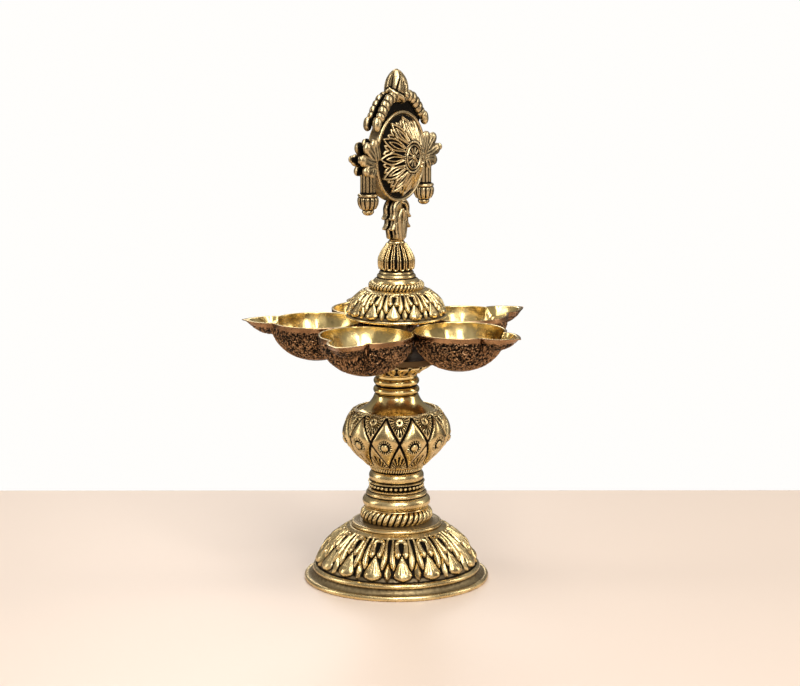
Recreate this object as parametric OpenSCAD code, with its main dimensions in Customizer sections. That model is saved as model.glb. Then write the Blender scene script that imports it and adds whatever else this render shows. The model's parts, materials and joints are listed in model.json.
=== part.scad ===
// Standing oil lamp (samai) of screwed brass sections.
// Millimetres, +Z up. The origin is on the lamp's axis, on the surface it stands on.
// The finial's front faces -Y.

/* [Foot] */
// Radius of the foot at its rim
foot_r = 55.3; // [54.5:0.1:57]
// Height of the foot's crown
crown_z = 32.8; // [32.6:0.1:33.4]
// Thickness of the foot casting
foot_wall = 2.6; // [2:0.1:3.4]
// Radius of the collar on the crown
collar_r = 27.2; // [26:0.1:28]
// Height of the collar
collar_h = 2.8; // [2.6:0.1:3.4]

/* [Stem] */
// Outer radius of the rope ring
rope_r = 21.1; // [20:0.1:22]
// Height of the rope ring
rope_h = 7.4; // [7:0.1:7.8]
// Height of the turned stem base above the rope ring
stem_base_h = 26.5; // [26.4:0.1:28]
// Largest radius of the bulb
bulb_r = 31.2; // [29:0.1:33]
// Thickness of the bulb casting
bulb_wall = 2.2; // [1.6:0.1:3]

/* [Bowls] */
// Number of wick bowls
bowl_count = 5; // [5:1:5]
// Outer radius of a wick bowl
bowl_r = 27.7; // [25:0.1:27.7]
// Depth of a wick bowl outside
bowl_depth = 24; // [22:0.1:24.5]
// Thickness of a bowl's wall
bowl_wall = 1.6; // [1.2:0.1:2]
// Distance of the bowls' centres from the lamp's axis
ring_r = 47.3; // [47.3:0.1:49]
// Reach of a spout from its bowl's centre
spout_reach = 44.6; // [40:0.1:46]
// Azimuth of the first bowl's spout
first_spout = 119.5; // [0:0.5:360]

/* [Cap and finial] */
// Radius of the cap's rim
cap_r = 29.7; // [29.4:0.1:31]
// Radius of the wheel disc in the finial
disc_r = 26.7; // [25:0.1:27]
// Height of the disc's centre above the foot
disc_z = 254.3; // [254.3:0.1:254.5]

/* [Threads] */
// Radius of the stud between foot and stem
stem_stud_r = 5; // [4.5:0.1:5.5]
// Radius of the rod through the stem
rod_r = 4; // [3.5:0.1:4.4]
// Radius of the stud under the finial
finial_stud_r = 2.5; // [2:0.1:2.8]
// Radial running clearance of a thread
gap = 0.05; // [0.02:0.01:0.1]

/* [Hidden] */
$fn = 96;

// Levels up the lamp, each worked out from the one below
collar_z = crown_z;
rope_z = collar_z + collar_h;
stem_z = rope_z + rope_h;
bulb_z = stem_z + stem_base_h;
bulb_mid = bulb_z + 20.5;
bulb_top = bulb_z + 34.1;
neck_seat = bulb_top - 2;
neck_z = bulb_top - 0.5;
hub_z = neck_z + 21.2;
plate_z = hub_z + 9.6;
plate_top = plate_z + 3.5;
rim_z = plate_top + 18.9;
boss_z = rim_z + 2.3;
cap_z = rim_z + 2.7;
cap_top = cap_z + 17.2;
bud_z = cap_top + 3.8;
bud_top = bud_z + 24.5;
rod_top = plate_top + 13;

// Brass of each kind of piece
old_brass = [0.62, 0.50, 0.27];
bright_brass = [0.83, 0.68, 0.32];
dark_brass = [0.42, 0.29, 0.18];

// Points along an arc from angle a0 to a1
function arc(c, r, a0, a1, n = 8) =
  [for (i = [0 : n]) let (a = a0 + (a1 - a0) * i / n) [c[0] + r * cos(a), c[1] + r * sin(a)]];

// Moves a list of points up
function up(points, z) = [for (p = points) [p[0], p[1] + z]];

module turned(points) {
  rotate_extrude() polygon(points);
}

module bored(r, z0, z1) {
  translate([0, 0, z0]) cylinder(r = r, h = z1 - z0);
}

// ---- Foot ----

dome_c = [9.5, crown_z - 36.8];
dome_arc_r = 40.85;
crown_hole_r = 6.5;

module foot() {
  inside_r = dome_arc_r - foot_wall;
  under_z = crown_z - foot_wall;
  under_a = asin((under_z - dome_c[1]) / inside_r);
  color(old_brass)
    turned(concat(
      [[foot_r - 4, 0], [foot_r - 0.6, 0], [foot_r, 0.7], [foot_r, 2], [foot_r - 0.6, 2.9]],
      [[foot_r - 1.8, 3.1], [foot_r - 3.4, 3.4], [foot_r - 4.6, 4.4], [foot_r - 5.3, 5.8]],
      arc([48.6, 7.1], 1.7, -40, 75),
      arc(dome_c, dome_arc_r, 19, 63, 14),
      [[27, crown_z], [crown_hole_r, crown_z], [crown_hole_r, under_z]],
      arc(dome_c, inside_r, under_a, 12, 14),
      [[48.4, 2.4]]
    ));
}

module foot_collar() {
  color(bright_brass)
    turned(up([
      [crown_hole_r, 0], [collar_r - 0.7, 0], [collar_r, 0.6], [collar_r, 1.1], [collar_r - 0.6, 1.4],
      [collar_r - 0.3, 1.8], [collar_r - 0.7, 2.4], [collar_r - 2, collar_h - 0.1],
      [collar_r - 4, collar_h], [crown_hole_r, collar_h]
    ], collar_z));
}

module foot_nut() {
  nut_h = 10.5;
  under_z = crown_z - foot_wall;
  color(old_brass)
    difference() {
      translate([0, 0, under_z - nut_h]) cylinder(r = 9.8, h = nut_h, $fn = 6);
      bored(stem_stud_r + gap, under_z - nut_h - 1, under_z + 1);
    }
}

module stem_stud() {
  color(old_brass) bored(stem_stud_r, crown_z - foot_wall - 12, stem_z + 13);
}

// ---- Stem ----

spigot_r = 13.6;

module rope_ring() {
  strand_r = rope_h / 2 + 0.2;
  color(old_brass)
    rotate_extrude()
      intersection() {
        union() {
          translate([rope_r - strand_r, rope_z + rope_h / 2]) circle(r = strand_r);
          translate([spigot_r, rope_z]) square([rope_r - strand_r - spigot_r, rope_h]);
        }
        translate([spigot_r, rope_z]) square([rope_r, rope_h]);
      }
}

module stem_base() {
  color(old_brass)
    difference() {
      turned(concat(
        up([[0, 0], [spigot_r, 0], [spigot_r, rope_h], [17.8, rope_h]], rope_z),
        up([[18.4, 0.5], [18.2, 1]], stem_z),
        up(arc([16.7, 4.7], 3.6, -76, 72), stem_z),
        up(arc([16.9, 9.5], 1.3, -55, 65, 4), stem_z),
        up([[16.6, 11.4], [16.9, 11.8], [16.7, 12.3], [15.3, 12.6]], stem_z),
        up([[15.3, 16], [16.7, 16.2], [16.9, 16.6], [16.2, 17.1]], stem_z),
        up(arc([12.6, 19.9], 3.8, -35, 60, 6), stem_z),
        up([[14.1, 23.9], [14.1, 24.3], [14.7, 24.8], [14.7, 25.9], [14.3, stem_base_h]], stem_z),
        [[0, bulb_z]]
      ));
      bored(stem_stud_r + gap, rope_z - 1, stem_z + 14);
      bored(rod_r, stem_z + 16, bulb_z + 1);
    }
}

// Radius of the bulb's outside at a height
function bulb_at(z) = z > bulb_mid
  ? bulb_r * sqrt(1 - pow((z - bulb_mid) / 22.8, 2))
  : bulb_r - 0.155 * pow(bulb_mid - z, 1.5);

module bulb() {
  floor_z = bulb_z + bulb_wall;
  ledge_z = neck_seat - bulb_wall;
  steps = 14;
  outside = [for (i = [0 : steps]) let (z = bulb_z + 0.8 + (bulb_top - bulb_z - 0.8) * i / steps) [bulb_at(z), z]];
  inside = [for (i = [steps : -1 : 0]) let (z = floor_z + (ledge_z - floor_z) * i / steps)
    [bulb_at(z) - bulb_wall, z]];
  color(old_brass)
    turned(concat(
      [[rod_r, bulb_z], [15.2, bulb_z]],
      outside,
      [[22.8, bulb_top], [22.8, neck_seat], [20.6, neck_seat], [20.6, ledge_z]],
      inside,
      [[rod_r, floor_z]]
    ));
}

module neck() {
  color(bright_brass)
    turned(concat(
      [[rod_r, neck_seat], [22.8, neck_seat], [22.8, neck_z]],
      arc([42, neck_z + 29.6], 35.3, -122.9, -144.7),
      up(arc([11.4, 12.25], 2.35, -72, 72), neck_z),
      up(arc([11.3, 17.5], 2.3, -72, 72), neck_z),
      up([[12.3, 19.9], [12.3, 21.2], [rod_r, 21.2]], neck_z)
    ));
}

module tie_rod() {
  color(old_brass) bored(rod_r, stem_z + 16.2, rod_top);
}

// ---- Bowl ring ----

module hub_rosette() {
  color(old_brass)
    turned(up([
      [rod_r + gap, 0], [12.4, 0], [13.2, 1], [15.6, 3.1], [19.4, 5.3], [20.7, 6.5],
      [20.2, 7.3], [15, 8.5], [13, 9.6], [rod_r + gap, 9.6]
    ], hub_z));
}

plate_r = 31;

module hub_plate() {
  color(old_brass)
    turned([
      [rod_r + gap, plate_z], [plate_r - 0.6, plate_z], [plate_r, plate_z + 0.6],
      [plate_r, plate_top], [rod_r + gap, plate_top]
    ]);
}

// The ellipsoid of a bowl, grown by g
module bowl_body(g) {
  steps = 16;
  deep = bowl_depth + g;
  turned(concat(
    [for (i = [0 : steps]) let (a = 90 * i / steps) [(bowl_r + g) * cos(a), -deep * sin(a)]],
    [[0, 1], [bowl_r + g, 1]]
  ));
}

// Half width of the spout at a share of its length, from its root to its tip
function spout_half(t) = 11.7 * (1 - t) * (1 + 1.3 * t) + 0.5 * (1 - t);

// The spout is the lower part of a spindle that lies above the rim's plane
module spout_body(g) {
  lift = 4.6;
  root = 8;
  base = 25.2;
  steps = 12;
  reach = spout_reach - base + g;
  profile = [for (i = [0 : steps]) let (t = i / steps)
    [sqrt(pow(spout_half(t), 2) + lift * lift) + g, base + reach * t]];
  translate([0, 0, lift])
    rotate([0, 90, 0])
      turned(concat([[0, root], [profile[0][0], root]], profile, [[0, base + reach]]));
}

module bowl_shape(g) {
  bowl_body(g);
  spout_body(g);
}

module wick_bowl(i) {
  span = 2 * spout_reach;
  color(dark_brass)
    difference() {
      rotate(first_spout + 360 / bowl_count * (i - 1))
        translate([ring_r, 0, rim_z])
          difference() {
            bowl_shape(0);
            bowl_shape(-bowl_wall);
            translate([-span, -span, 0]) cube([2 * span, 2 * span, span]);
          }
      bored(plate_r, plate_z, plate_top);
    }
}

// ---- Cap ----

stud_top = cap_top - 4.7;

module cap_tube() {
  foot_h = 2;
  color(old_brass)
    turned([
      [rod_r + gap, plate_top], [9.5, plate_top], [9.5, plate_top + foot_h], [7, plate_top + foot_h + 1.5],
      [7, boss_z], [stem_stud_r, boss_z], [stem_stud_r, stud_top], [0, stud_top],
      [0, rod_top + 1], [rod_r + gap, rod_top + 1]
    ]);
}

module cap_dome() {
  centre = [cap_r - 19.8, cap_z - 0.8];
  boss_r = 9;
  color(old_brass)
    difference() {
      union() {
        turned(concat(
          [[0, cap_z], [cap_r - 0.5, cap_z], [cap_r, cap_z + 0.5], [cap_r, cap_z + 1.1], [cap_r - 0.6, cap_z + 1.5]],
          arc(centre, 19.3, 8, 66, 12),
          [[17, cap_top], [0, cap_top]]
        ));
        bored(boss_r, boss_z, cap_z + 1);
      }
      turned(concat(
        [[boss_r, boss_z - 1], [cap_r - 2.4, boss_z - 1]],
        arc(centre, 17.2, 3, 62, 12),
        [[boss_r, centre[1] + 17.2 * sin(62)]]
      ));
      bored(stem_stud_r + gap, boss_z - 1, stud_top + 0.5);
    }
}

bud_spigot_r = 9;

module cap_rope_ring() {
  strand_r = 1.95;
  height = bud_z - cap_top;
  color(old_brass)
    rotate_extrude()
      intersection() {
        union() {
          translate([14.25, cap_top + height / 2]) circle(r = strand_r);
          translate([bud_spigot_r, cap_top]) square([14.25 - bud_spigot_r, height]);
        }
        translate([bud_spigot_r, cap_top]) square([8, height]);
      }
}

module cap_bud() {
  color(old_brass)
    difference() {
      turned(concat(
        [[0, cap_top], [bud_spigot_r, cap_top], [bud_spigot_r, bud_z]],
        up([[13.6, 0], [13.6, 0.6], [12.9, 1.8], [11.6, 2.6], [11.4, 3.4], [10.7, 4.6]], bud_z),
        up([[10.2, 5.4], [9.6, 6.4], [9.4, 7.2], [9.9, 8], [10.25, 10.5], [10.25, 13.5]], bud_z),
        up([[9.4, 15.7], [8.5, 17.5], [7.6, 19.3], [6.2, 21.1], [5.3, 22.8], [4.5, 24.5]], bud_z),
        [[0, bud_top]]
      ));
      bored(finial_stud_r + gap, bud_top - 16.5, bud_top + 1);
    }
}

// ---- Finial ----

module finial_stud() {
  color(old_brass) bored(finial_stud_r, bud_top - 15.5, bud_top + 7.5);
}

// Turns a shape drawn in X and Y into a plate between two depths behind the front
module plate(y0, y1) {
  translate([0, y1, disc_z]) rotate([90, 0, 0]) linear_extrude(height = y1 - y0) children();
}

// A body turned about the disc's own axis
module disc_turned(points) {
  translate([0, 0, disc_z]) rotate([90, 0, 0]) turned(points);
}

// Places of the finial's pieces, across and up from the disc's centre, and their depths
half_drum = 3;
frame_near = 1.5;
frame_far = 4.4;
core_r = 3.6;
pendant_u = 29.8;
pendant_v = -9;
pendant_r = 4.5;
crest_v = 31;
crest_r = 6.7;

module finial_stalk() {
  color(old_brass)
    difference() {
      bored(core_r, bud_top, disc_z - disc_r + 1);
      disc_turned([[0, -9], [disc_r, -9], [disc_r, 9], [0, 9]]);
      bored(finial_stud_r + gap, bud_top - 1, bud_top + 8.3);
    }
}

module wheel_drum() {
  rim_w = 2;
  rim_up = 0.7;
  color(old_brass)
    disc_turned([
      [0, -half_drum], [disc_r - rim_w, -half_drum], [disc_r - rim_w + 0.4, -half_drum - rim_up],
      [disc_r - 0.4, -half_drum - rim_up], [disc_r, -half_drum], [disc_r, half_drum],
      [disc_r - 0.4, half_drum + rim_up], [disc_r - rim_w + 0.4, half_drum + rim_up],
      [disc_r - rim_w, half_drum], [0, half_drum]
    ]);
}

// A tapering limb with round ends, from point p to point q
module limb(p, q, rp, rq) {
  a = atan2(q[1] - p[1], q[0] - p[0]) + 90;
  side = [cos(a), sin(a)];
  translate(p) circle(r = rp, $fn = 28);
  translate(q) circle(r = rq, $fn = 28);
  polygon([p + rp * side, q + rq * side, q - rq * side, p - rp * side]);
}

// One side of the ornament round the disc: leaf lobes, flame and the arch's scrolls
module ornament_side() {
  limb([26, 4], [29.6, 14.6], 3, 2.6);
  limb([29, 3], [40.6, 10.6], 3, 2.2);
  limb([29, 1], [45.2, 2.3], 3.2, 2.5);
  limb([29, -3], [39.6, -7.6], 2.8, 2);
  limb([28.6, -4], [30.6, -8.4], 3, 2.6);
  limb([24.2, 18], [23.6, 21.2], 2.2, 3);
  limb([23.6, 21.2], [20.4, 26], 3, 3);
  limb([20.4, 26], [15.4, 30.8], 3, 3.1);
  limb([15.4, 30.8], [5, 35.2], 3.1, 3);
}

module stalk_scroll() {
  limb([4.4, -27], [6.4, -33], 2.2, 2.4);
  limb([6.4, -33], [5.2, -41], 2.3, 2.2);
  limb([5.2, -41], [3.8, -47.5], 2.1, 1.8);
}

// Room for the pieces that sit against the castings
module seats() {
  circle(r = disc_r);
  for (side = [-1, 1])
    translate([side * pendant_u - pendant_r - 0.1, pendant_v - 30]) square([2 * pendant_r + 0.2, 30]);
  translate([-crest_r - 0.1, crest_v]) square([2 * crest_r + 0.2, 30]);
  translate([-core_r - 0.1, -60]) square([2 * core_r + 0.2, 40]);
}

// The thin web that fills the arch above the disc
module arch_web() {
  intersection() {
    circle(r = 34.5);
    polygon([[-24, 18], [24, 18], [14, 36], [-14, 36]]);
  }
}

// A 2D shape and its mirror image, blended and cut back for the seats
module both_sides() {
  difference() {
    offset(r = 0.2)
      union() {
        children();
        mirror([1, 0]) children();
      }
    seats();
  }
}

// One of the two castings that lie back to back round the disc
module ornament_casting() {
  plate(-frame_far, -frame_near)
    both_sides() {
      circle(r = disc_r + 1.6);
      ornament_side();
    }
  plate(-frame_near - 1.2, -frame_near)
    difference() {
      arch_web();
      seats();
    }
  plate(-frame_far, -0.1) both_sides() stalk_scroll();
}

module finial_front() {
  color(old_brass) ornament_casting();
}

module finial_back() {
  color(old_brass) mirror([0, 1, 0]) ornament_casting();
}

module lotus() {
  disc_turned(up([
    [0, 0], [23.6, 0], [23.6, 0.8], [20, 3.6], [15, 6.5], [10.4, 8.4], [9.7, 9.4],
    [8.4, 9.2], [4, 9.4], [2.4, 10.2], [0, 10.6]
  ], half_drum));
}

module lotus_front() {
  color(bright_brass) lotus();
}

module lotus_back() {
  color(bright_brass) mirror([0, 1, 0]) lotus();
}

// A turned tassel that hangs beside the disc
module pendant(u) {
  translate([u, 0, disc_z])
    turned([
      [0, pendant_v], [pendant_r, pendant_v], [pendant_r, -19], [5.9, -19.4], [5.9, -20.6], [5.5, -21], [6.05, -23],
      [5.8, -25], [4.6, -27.4], [3.2, -28.8], [3.5, -29.6], [2.8, -31], [1.4, -31.7], [0, -31.7]
    ]);
}

module pendant_left() {
  color(old_brass) pendant(-pendant_u);
}

module pendant_right() {
  color(old_brass) pendant(pendant_u);
}

// The flame bud on top of the arch
module crest_bud() {
  color(old_brass)
    translate([0, 0, disc_z])
      turned([
        [0, crest_v], [4.2, crest_v], [5.8, 33.4], [crest_r, 37], [6.5, 40.4], [5.4, 44.2], [3.8, 47.4],
        [2, 49.8], [0, 50.7]
      ]);
}

foot();
foot_collar();
foot_nut();
stem_stud();
rope_ring();
stem_base();
bulb();
neck();
tie_rod();
hub_rosette();
hub_plate();
wick_bowl(1);  // wick_bowl_1
wick_bowl(2);  // wick_bowl_2
wick_bowl(3);  // wick_bowl_3
wick_bowl(4);  // wick_bowl_4
wick_bowl(5);  // wick_bowl_5
cap_tube();
cap_dome();
cap_rope_ring();
cap_bud();
finial_stud();
finial_stalk();
wheel_drum();
finial_front();
finial_back();
lotus_front();
lotus_back();
pendant_left();
pendant_right();
crest_bud();
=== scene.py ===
"""Looks of the standing oil lamp: chased brass castings built round the CAD frame."""

import json
from functools import partial
from math import ceil, cos, hypot, pi, radians, sin, sqrt

import bpy
import numpy as np
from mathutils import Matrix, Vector, noise


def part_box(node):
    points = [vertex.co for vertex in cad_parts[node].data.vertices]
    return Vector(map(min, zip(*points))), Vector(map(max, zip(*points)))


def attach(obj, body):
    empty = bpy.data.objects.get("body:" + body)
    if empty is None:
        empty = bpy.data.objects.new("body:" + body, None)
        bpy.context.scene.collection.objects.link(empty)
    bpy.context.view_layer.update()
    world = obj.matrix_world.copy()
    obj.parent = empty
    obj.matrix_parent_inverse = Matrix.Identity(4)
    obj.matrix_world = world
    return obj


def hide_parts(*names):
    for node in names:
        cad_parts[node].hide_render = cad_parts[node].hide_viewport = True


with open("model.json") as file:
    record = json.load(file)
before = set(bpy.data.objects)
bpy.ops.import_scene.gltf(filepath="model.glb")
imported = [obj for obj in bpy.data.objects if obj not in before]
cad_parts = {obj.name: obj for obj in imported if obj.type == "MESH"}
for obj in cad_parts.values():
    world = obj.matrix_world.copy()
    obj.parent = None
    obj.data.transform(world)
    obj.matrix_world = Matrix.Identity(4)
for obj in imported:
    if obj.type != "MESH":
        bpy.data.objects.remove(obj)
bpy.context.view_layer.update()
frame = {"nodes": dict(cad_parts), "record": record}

MM = 0.001
GAP = 0.05
BODIES = frame["record"]["behaviour"]["bodies"]
BODY_OF = {node: body for body, nodes in BODIES.items() for node in nodes}


# ---- Places, from the CAD frame, in millimetres ----

def levels(node):
    """Lowest and highest level of a CAD node."""
    low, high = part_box(node)
    return low.z / MM, high.z / MM


def reach(node):
    """Largest radius of a CAD node that is turned about the lamp's axis."""
    low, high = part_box(node)
    return (high.x - low.x) / 2 / MM


CROWN_Z = levels("foot")[1]
ROPE_Z = levels("rope_ring")[0]
STEM_Z = levels("rope_ring")[1]
BULB_Z, BULB_TOP = levels("bulb")
NECK_SEAT, HUB_Z = levels("neck")
RIM_Z = levels("wick_bowl_1")[1]
BOSS_Z = levels("cap_dome")[0]
CAP_TOP, BUD_Z = levels("cap_rope_ring")
ROD_TOP = levels("tie_rod")[1]
DISC_Z = sum(levels("wheel_drum")) / 2
DISC_R = (levels("wheel_drum")[1] - levels("wheel_drum")[0]) / 2
FOOT_R = reach("foot")
COLLAR_R = reach("foot_collar")
ROPE_R = reach("rope_ring")
BULB_R = reach("bulb")
CAP_R = reach("cap_dome")
ROD_R = reach("tie_rod")
STUD_R = reach("stem_stud")
FINIAL_STUD_R = reach("finial_stud")


# ---- Shells: closed surfaces made from grids of points, in millimetres ----

def facing_out(points, quads):
    """The faces of a closed surface, turned over if they face inwards."""
    a, b, c, d = (points[quads[:, i]] for i in range(4))
    volume = np.einsum("ij,ij->", a, np.cross(b, c)) + np.einsum("ij,ij->", a, np.cross(c, d))
    return quads if volume >= 0 else quads[:, ::-1]


def shell(grid, recess, tint=0.0, closed=False):
    """A closed surface from rows of points. An end row of equal points becomes a pole."""
    rows, columns = grid.shape[:2]
    index = np.arange(rows * columns).reshape(rows, columns)
    for end in (0, rows - 1):
        if np.ptp(grid[end], axis=0).max() < 1e-6:
            index[end] = index[end, 0]
    used, index = np.unique(index, return_inverse=True)
    index = index.reshape(rows, columns)
    lower = index if closed else index[:-1]
    upper = np.roll(index, -1, axis=0) if closed else index[1:]
    sides = [lower, np.roll(lower, -1, 1), np.roll(upper, -1, 1), upper]
    quads = np.stack(sides, -1).reshape(-1, 4)
    points = grid.reshape(-1, 3)[used]
    values = [np.broadcast_to(v, (rows, columns)).reshape(-1)[used] for v in (recess, tint)]
    quads = facing_out(points, quads)
    return {"points": points, "quads": quads, "recess": values[0], "tint": values[1]}


def moved(part, place):
    """A shell with its points passed through a function of x, y and z."""
    x, y, z = part["points"].T
    points = np.stack([np.broadcast_to(v, x.shape) for v in place(x, y, z)], -1)
    return {**part, "points": points, "quads": facing_out(points, part["quads"])}


def faces_of(quads):
    """Splits a grid's faces into true quads and the triangles at its poles."""
    following = np.roll(quads, -1, axis=1)
    doubled = quads == following
    whole = quads[~doubled.any(axis=1)]
    triangles = []
    for corner in range(4):
        kept = [i for i in range(4) if i != corner]
        triangles.append(quads[doubled[:, corner]][:, kept])
    return whole, np.vstack(triangles)


def mesh_of(name, shells):
    """A mesh of closed shells, with their recess and tint stored on its points."""
    offset, quads, triangles = 0, [], []
    for part in shells:
        whole, thirds = faces_of(part["quads"])
        quads.append(whole + offset)
        triangles.append(thirds + offset)
        offset += len(part["points"])
    points = np.vstack([part["points"] for part in shells]) * MM
    mesh = bpy.data.meshes.new(name)
    mesh.from_pydata(points.tolist(), [], np.vstack(quads).tolist() + np.vstack(triangles).tolist())
    mesh.validate()
    mesh.polygons.foreach_set("use_smooth", np.ones(len(mesh.polygons), bool))
    for layer in ("recess", "tint"):
        values = np.concatenate([part[layer] for part in shells]).astype(np.float32)
        mesh.attributes.new(layer, "FLOAT", "POINT").data.foreach_set("value", values)
    return mesh


def linked(name, data):
    """A new object in the scene."""
    made = bpy.data.objects.new(name, data)
    bpy.context.scene.collection.objects.link(made)
    return made


def piece(node, shells, material, sharp=50.0):
    """One mesh of closed shells, which stands for a CAD node and rides on its body."""
    mesh = mesh_of(node + "_brass", shells)
    mesh.set_sharp_from_angle(angle=radians(sharp))
    mesh.materials.append(material)
    made = linked(node + "_brass", mesh)
    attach(made, BODY_OF[node])
    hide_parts(node)
    return made


# ---- Outlines ----

def spaced(points, spacing):
    """Points along a line of straight stretches, no further apart than the spacing."""
    points = np.asarray(points, float)
    runs = [points[:1]]
    for start, end in zip(points[:-1], points[1:]):
        count = max(1, ceil(np.linalg.norm(end - start) / spacing))
        share = np.arange(1, count + 1)[:, None] / count
        runs.append(start + (end - start) * share)
    return np.vstack(runs)


def arc(centre, radius, start, end, steps=24):
    """Points on an arc between two angles in degrees."""
    angles = np.radians(np.linspace(start, end, steps + 1))
    return [(centre[0] + radius * cos(a), centre[1] + radius * sin(a)) for a in angles]


def up(points, level, out=0.0):
    """Outline points moved up, and out from the axis."""
    return [(r + out, z + level) for r, z in points]


def lengths(points):
    """Distance along a line of points, from its first one."""
    steps = np.linalg.norm(np.diff(points, axis=0), axis=1)
    return np.concatenate([[0.0], np.cumsum(steps)])


def rounded(points, steps=6):
    """A smooth curve through a few points, by Catmull and Rom's rule."""
    points = np.asarray(points, float)
    ends = [2 * points[0] - points[1], *points, 2 * points[-1] - points[-2]]
    curve = []
    for p0, p1, p2, p3 in zip(ends, ends[1:], ends[2:], ends[3:]):
        for t in np.arange(steps) / steps:
            bend = (2 * p0 - 5 * p1 + 4 * p2 - p3) * t * t
            twist = (3 * p1 - p0 - 3 * p2 + p3) * t ** 3
            curve.append((2 * p1 + (p2 - p0) * t + bend + twist) / 2)
    return np.vstack([curve, points[-1:]])


# ---- Turned pieces ----

GROOVE_SPAN = 1.3
GROOVE_DEPTH = 0.42
DULL_CLEARS = 0.6


def hollows(profile, normal):
    """How deep each point of a turned profile lies in a groove, from 0 to 1."""
    along = lengths(profile)
    before, after = (
        np.stack([np.interp(along + shift, along, profile[:, i]) for i in (0, 1)], -1)
        for shift in (-GROOVE_SPAN, GROOVE_SPAN)
    )
    depth = np.einsum("ij,ij->i", (before + after) / 2 - profile, normal)
    return np.clip(depth / GROOVE_DEPTH, 0, 1)


def joined(strokes):
    """The strokes' outlines as one profile, and the rows of each with its relief and dullness."""
    runs, finishes, first = [], [], 0
    for outline, spacing, *finish in strokes:
        run = spaced(outline, spacing)
        if runs and np.allclose(run[0], runs[-1][-1], atol=1e-4):
            run = run[1:]
        runs.append(run)
        relief = finish[0] if finish else None
        dull = finish[1] if len(finish) > 1 else 0.0
        finishes.append((slice(first, first + len(run)), relief, dull))
        first += len(run)
    return np.vstack(runs), finishes


def normals(profile, closed):
    """Unit vectors square to a profile, outwards."""
    slope = np.gradient(profile, axis=0)
    if closed:
        slope = np.roll(profile, -1, 0) - np.roll(profile, 1, 0)
    normal = np.stack([slope[:, 1], -slope[:, 0]], -1)
    return normal / np.linalg.norm(normal, axis=1)[:, None]


def turned(strokes, columns):
    """A shell turned about Z from strokes: outline points, their spacing, a relief and a dullness."""
    profile, finishes = joined(strokes)
    closed = profile[0, 0] > 1e-6
    normal = normals(profile, closed)
    phi = np.arange(columns)[None, :] * 2 * pi / columns
    height = np.zeros((len(profile), columns))
    recess = hollows(profile, normal)[:, None] + height
    tint = np.zeros_like(height)
    for rows, relief, dull in finishes:
        tint[rows] = dull
        recess[rows] *= 1 - DULL_CLEARS * dull
        if relief:
            part = profile[rows]
            raised, deep, *matt = relief(lengths(part)[:, None], part[:, :1], part[:, 1:], phi)
            height[rows] += raised
            recess[rows] = np.maximum(recess[rows], deep)
            if matt:
                tint[rows] = matt[0]
    radius = np.maximum(profile[:, :1] + height * normal[:, :1], 0)
    level = profile[:, 1:] + height * normal[:, 1:]
    grid = np.stack([radius * np.cos(phi), radius * np.sin(phi), level], -1)
    for end in (0, -1):
        if profile[end, 0] < 1e-6:
            grid[end] = (0, 0, profile[end, 1])
    return shell(grid, recess, tint, closed)


# ---- Relief, as height in millimetres and depth of tarnish from 0 to 1 ----

def ridge(distance, half):
    """A round ridge: 1 on its line and 0 from half its width outwards."""
    share = distance / np.maximum(half, 1e-6)
    return np.sqrt(np.clip(1 - share * share, 0, 1))


def blend(value, low, high):
    """0 below low, 1 above high, and smooth between."""
    share = np.clip((value - low) / (high - low), 0, 1)
    return share * share * (3 - 2 * share)


def cell_offset(phi, count, turn):
    """Angle from the nearest of evenly spaced motifs, the first one at turn degrees."""
    pitch = 2 * pi / count
    return (phi - radians(turn) + pitch / 2) % pitch - pitch / 2


MOTIF_LENGTH = 31.4
MOTIF_COUNT = 16
MOTIF_ARC = (9.5, 40.85, 19.0)
MOTIF_GROUND = 0.85
MOTIF_START = 1.8
MOTIF_STRETCH = 1.06

# Each strip of a motif: places up it, then its distance from the axis, half width and height there
DROP = (
    [2.3, 3.0, 4.0, 5.5, 6.5, 8, 10.4, 12.5, 14, 16, 17.8],
    [0] * 11,
    [0, 3.4, 4.9, 5.6, 5.5, 4.8, 3.6, 2.7, 1.95, 1.05, 0],
    [1.2, 2.0, 2.5, 2.6, 2.4, 1.9, 1.55, 1.35, 1.2, 1.0, 0.9],
)
LOOP_LEG = (
    [15.4, 16.2, 17, 18.2, 20, 22.4, 24.8],
    [2.45, 2.4, 2.3, 2.2, 2.5, 2.75, 2.75],
    [0, 1.1, 1.6, 1.9, 1.65, 1.35, 1.25],
    [1.3, 1.7, 2.0, 2.1, 1.7, 1.45, 1.35],
)
LEAF_LEG = (
    [8.4, 9.4, 10.4, 12, 14, 16, 18.5, 21, 24.2, 27, 28.5, 30],
    [5.4, 5.45, 5.5, 5.65, 5.8, 5.75, 5.6, 5.4, 4.95, 4.55, 4.4, 4.4],
    [0, 0.8, 1.3, 1.75, 1.9, 1.8, 1.45, 1.15, 0.85, 0.65, 0.6, 0.6],
    [1.2, 1.6, 1.9, 2.2, 2.25, 2.1, 1.8, 1.6, 1.45, 1.35, 1.3, 1.2],
)
LOZENGE = ([2.2, 3.2, 5, 7, 9, 11, 13.2], [0, 1.0, 1.95, 2.3, 2.0, 1.2, 0])
LOZENGE_RISE = 2.0
LOOP_TOP = 24.8
LOOP_R = 2.75
LOOP_HALF = 1.25
LOOP_RISE = 1.5
SLOT_TOP = 28.4
FLUTE_DEPTH = 0.22


def motif_half_pitch(s):
    """Half the pitch of the foot's motifs at a distance up its dome."""
    inner, arc_r, start = MOTIF_ARC
    radius = inner + arc_r * np.cos(radians(start) + s / arc_r)
    return pi * radius / MOTIF_COUNT


def strip(x, s, shape):
    """Height of a round strip at a distance x from the motif's axis and s up it."""
    places, lines, halves, heights = shape
    line, half, rise = (np.interp(s, places, values) for values in (lines, halves, heights))
    return ridge(x - line, half) * rise


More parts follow.
